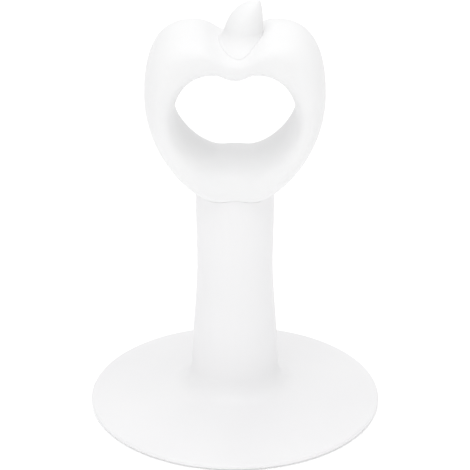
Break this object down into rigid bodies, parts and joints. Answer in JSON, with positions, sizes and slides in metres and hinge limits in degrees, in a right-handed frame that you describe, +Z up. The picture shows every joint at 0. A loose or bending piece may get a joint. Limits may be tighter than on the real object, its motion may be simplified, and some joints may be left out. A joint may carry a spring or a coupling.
{
  "type": "apple peeler corer",
  "caption": "Finger loop shaped like an apple, with a coring tube and swivel peeling blade, that lifts out of a round-footed column stand.",
  "frame": {"origin": "centre of the stand's foot, on the table", "axes": "+Z up along the column and the coring tube; -Y towards the viewer, through the loop; the leaf leans towards +X"},
  "size_m": [0.12, 0.12, 0.1822],
  "materials": {
    "stand_white": "white moulded plastic, satin",
    "grip_white": "white soft-touch plastic, satin",
    "foot_rubber": "off-white silicone rubber, matt",
    "natural_plastic": "translucent-looking natural polypropylene",
    "blade_steel": "stainless strip and tube, brushed",
    "ballast_steel": "plain turned mild steel"
  },
  "bodies": {
    "stand": {"stand_shell": "stand_white", "base_plate": "stand_white", "foot_ring": "foot_rubber", "ballast_ring": "ballast_steel", "guard_liner": "natural_plastic", "tooth_pad": "foot_rubber", "base_screw_1": "blade_steel", "base_screw_2": "blade_steel", "base_screw_3": "blade_steel"},
    "corer": {"handle_loop": "grip_white", "handle_cover": "grip_white", "leaf": "grip_white", "neck_plug": "natural_plastic", "seal_ring": "foot_rubber", "retaining_dowel": "blade_steel", "corer_tube": "blade_steel", "tube_rivet": "blade_steel", "cover_screw_1": "blade_steel", "cover_screw_2": "blade_steel", "cover_screw_3": "blade_steel", "cover_screw_4": "blade_steel", "blade_bracket_lower": "blade_steel", "blade_pin_lower": "blade_steel", "blade_bracket_upper": "blade_steel", "blade_pin_upper": "blade_steel"},
    "blade": {"peeler_blade": "blade_steel"}
  },
  "joints": [
    {"name": "handle_lift", "type": "slide", "parent": "stand", "child": "corer", "axis": [0, 0, 1], "range_m": [0, 0.1]},
    {"name": "blade_swivel", "type": "hinge", "parent": "corer", "child": "blade", "pos_m": [0, -0.0086, 0.0462], "axis": [0, 0, 1], "range_deg": [-10, 10]}
  ]
}
